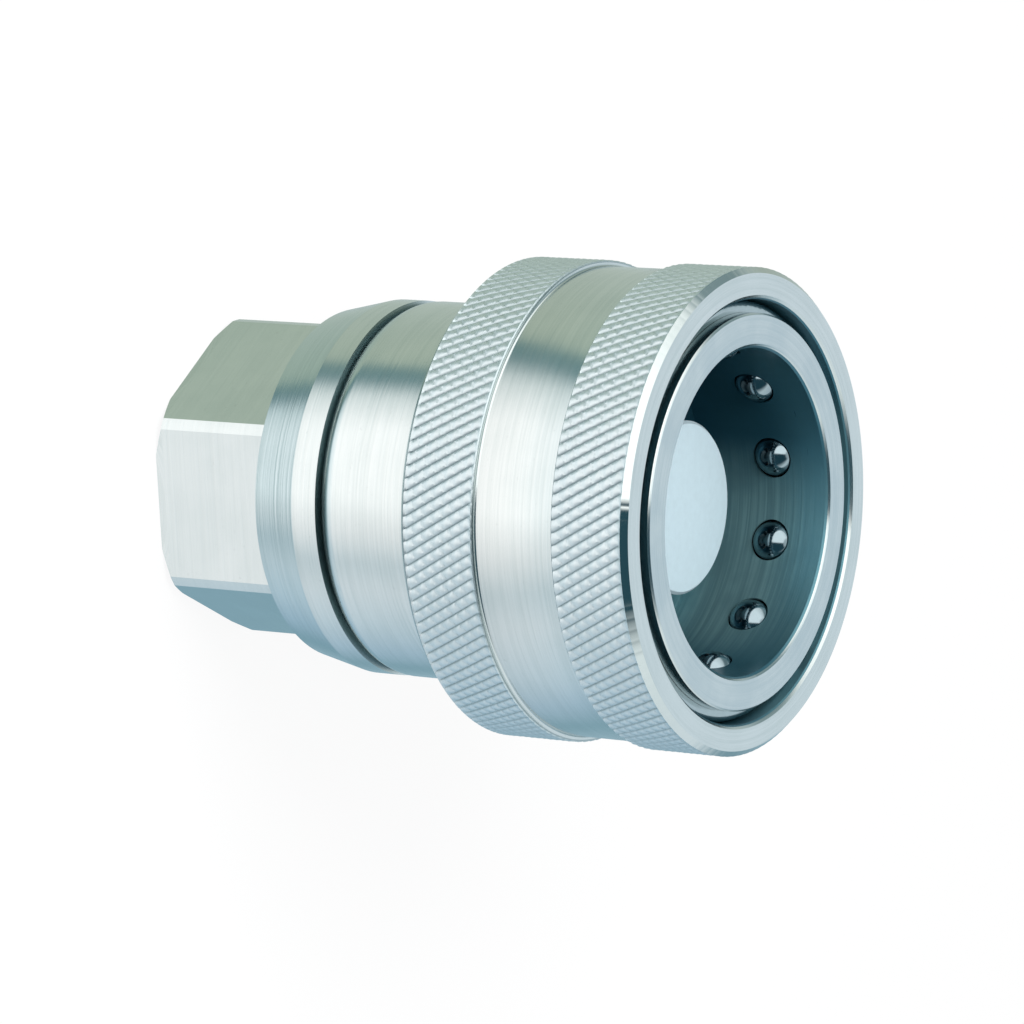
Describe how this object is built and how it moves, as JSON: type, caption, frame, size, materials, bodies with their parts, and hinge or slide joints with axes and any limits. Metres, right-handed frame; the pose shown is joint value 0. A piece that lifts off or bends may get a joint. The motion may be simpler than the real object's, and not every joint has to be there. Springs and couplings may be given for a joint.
{
  "type": "brake coupling",
  "caption": "Pneumatic brake coupling socket: knurled pull-back locking sleeve over a ball-lock bore with a sprung valve poppet, on a hexagon hose port.",
  "frame": {"origin": "centre of the hexagon's end face", "axes": "+Z along the coupling's axis towards the mouth, +X through a corner of the hexagon"},
  "size_m": [0.05, 0.05, 0.063],
  "materials": {
    "adapter_steel": "plated, satin turned",
    "socket_steel": "plated, satin turned",
    "sleeve_steel": "plated, knurled bands",
    "ring_steel": "plated",
    "spring_steel": "drawn wire",
    "ball_steel": "polished",
    "valve_alloy": "turned, matte",
    "guide_alloy": "matte",
    "seal_rubber": "matte",
    "backup_plastic": "matte"
  },
  "bodies": {
    "socket": {"socket_body": "socket_steel", "port_adapter": "adapter_steel", "sleeve_stop_ring": "ring_steel", "spring_seat_ring": "ring_steel", "valve_guide": "guide_alloy", "valve_spring": "spring_steel", "nose_seal": "seal_rubber", "nose_backup_ring": "backup_plastic", "joint_o_ring": "seal_rubber"},
    "sleeve_turn_body": {"sleeve_spring": "spring_steel"},
    "sleeve": {"locking_sleeve": "sleeve_steel"},
    "poppet": {"valve_poppet": "valve_alloy", "poppet_seal": "seal_rubber"},
    "ball_01": {"locking_ball_01": "ball_steel"},
    "ball_02": {"locking_ball_02": "ball_steel"},
    "ball_03": {"locking_ball_03": "ball_steel"},
    "ball_04": {"locking_ball_04": "ball_steel"},
    "ball_05": {"locking_ball_05": "ball_steel"},
    "ball_06": {"locking_ball_06": "ball_steel"},
    "ball_07": {"locking_ball_07": "ball_steel"},
    "ball_08": {"locking_ball_08": "ball_steel"},
    "ball_09": {"locking_ball_09": "ball_steel"},
    "ball_10": {"locking_ball_10": "ball_steel"},
    "ball_11": {"locking_ball_11": "ball_steel"},
    "ball_12": {"locking_ball_12": "ball_steel"}
  },
  "joints": [
    {"name": "sleeve_turn", "type": "hinge", "parent": "socket", "child": "sleeve_turn_body", "pos_m": [0, 0, 0.05], "axis": [0, 0, 1], "continuous": true},
    {"name": "sleeve_slide", "type": "slide", "parent": "sleeve_turn_body", "child": "sleeve", "axis": [0, 0, -1], "range_m": [0, 0.006], "stiffness_N_per_m": 3000, "springref_m": -0.007, "deforming": ["sleeve_spring"]},
    {"name": "poppet_slide", "type": "slide", "parent": "socket", "child": "poppet", "axis": [0, 0, -1], "range_m": [0, 0.006], "stiffness_N_per_m": 2000, "springref_m": -0.006, "deforming": ["valve_spring"]},
    {"name": "ball_01_slide", "type": "slide", "parent": "socket", "child": "ball_01", "axis": [0.9925, 0.1219, 0], "range_m": [0, 0.00121]},
    {"name": "ball_02_slide", "type": "slide", "parent": "socket", "child": "ball_02", "axis": [0.7986, 0.6018, 0], "range_m": [0, 0.00121]},
    {"name": "ball_03_slide", "type": "slide", "parent": "socket", "child": "ball_03", "axis": [0.3907, 0.9205, 0], "range_m": [0, 0.00121]},
    {"name": "ball_04_slide", "type": "slide", "parent": "socket", "child": "ball_04", "axis": [-0.1219, 0.9925, 0], "range_m": [0, 0.00121]},
    {"name": "ball_05_slide", "type": "slide", "parent": "socket", "child": "ball_05", "axis": [-0.6018, 0.7986, 0], "range_m": [0, 0.00121]},
    {"name": "ball_06_slide", "type": "slide", "parent": "socket", "child": "ball_06", "axis": [-0.9205, 0.3907, 0], "range_m": [0, 0.00121]},
    {"name": "ball_07_slide", "type": "slide", "parent": "socket", "child": "ball_07", "axis": [-0.9925, -0.1219, 0], "range_m": [0, 0.00121]},
    {"name": "ball_08_slide", "type": "slide", "parent": "socket", "child": "ball_08", "axis": [-0.7986, -0.6018, 0], "range_m": [0, 0.00121]},
    {"name": "ball_09_slide", "type": "slide", "parent": "socket", "child": "ball_09", "axis": [-0.3907, -0.9205, 0], "range_m": [0, 0.00121]},
    {"name": "ball_10_slide", "type": "slide", "parent": "socket", "child": "ball_10", "axis": [0.1219, -0.9925, 0], "range_m": [0, 0.00121]},
    {"name": "ball_11_slide", "type": "slide", "parent": "socket", "child": "ball_11", "axis": [0.6018, -0.7986, 0], "range_m": [0, 0.00121]},
    {"name": "ball_12_slide", "type": "slide", "parent": "socket", "child": "ball_12", "axis": [0.9205, -0.3907, 0], "range_m": [0, 0.00121]}
  ],
  "couplings": [
    {"joint": "ball_01_slide", "follows": "sleeve_slide", "ratio": 0.2},
    {"joint": "ball_02_slide", "follows": "sleeve_slide", "ratio": 0.2},
    {"joint": "ball_03_slide", "follows": "sleeve_slide", "ratio": 0.2},
    {"joint": "ball_04_slide", "follows": "sleeve_slide", "ratio": 0.2},
    {"joint": "ball_05_slide", "follows": "sleeve_slide", "ratio": 0.2},
    {"joint": "ball_06_slide", "follows": "sleeve_slide", "ratio": 0.2},
    {"joint": "ball_07_slide", "follows": "sleeve_slide", "ratio": 0.2},
    {"joint": "ball_08_slide", "follows": "sleeve_slide", "ratio": 0.2},
    {"joint": "ball_09_slide", "follows": "sleeve_slide", "ratio": 0.2},
    {"joint": "ball_10_slide", "follows": "sleeve_slide", "ratio": 0.2},
    {"joint": "ball_11_slide", "follows": "sleeve_slide", "ratio": 0.2},
    {"joint": "ball_12_slide", "follows": "sleeve_slide", "ratio": 0.2}
  ]
}
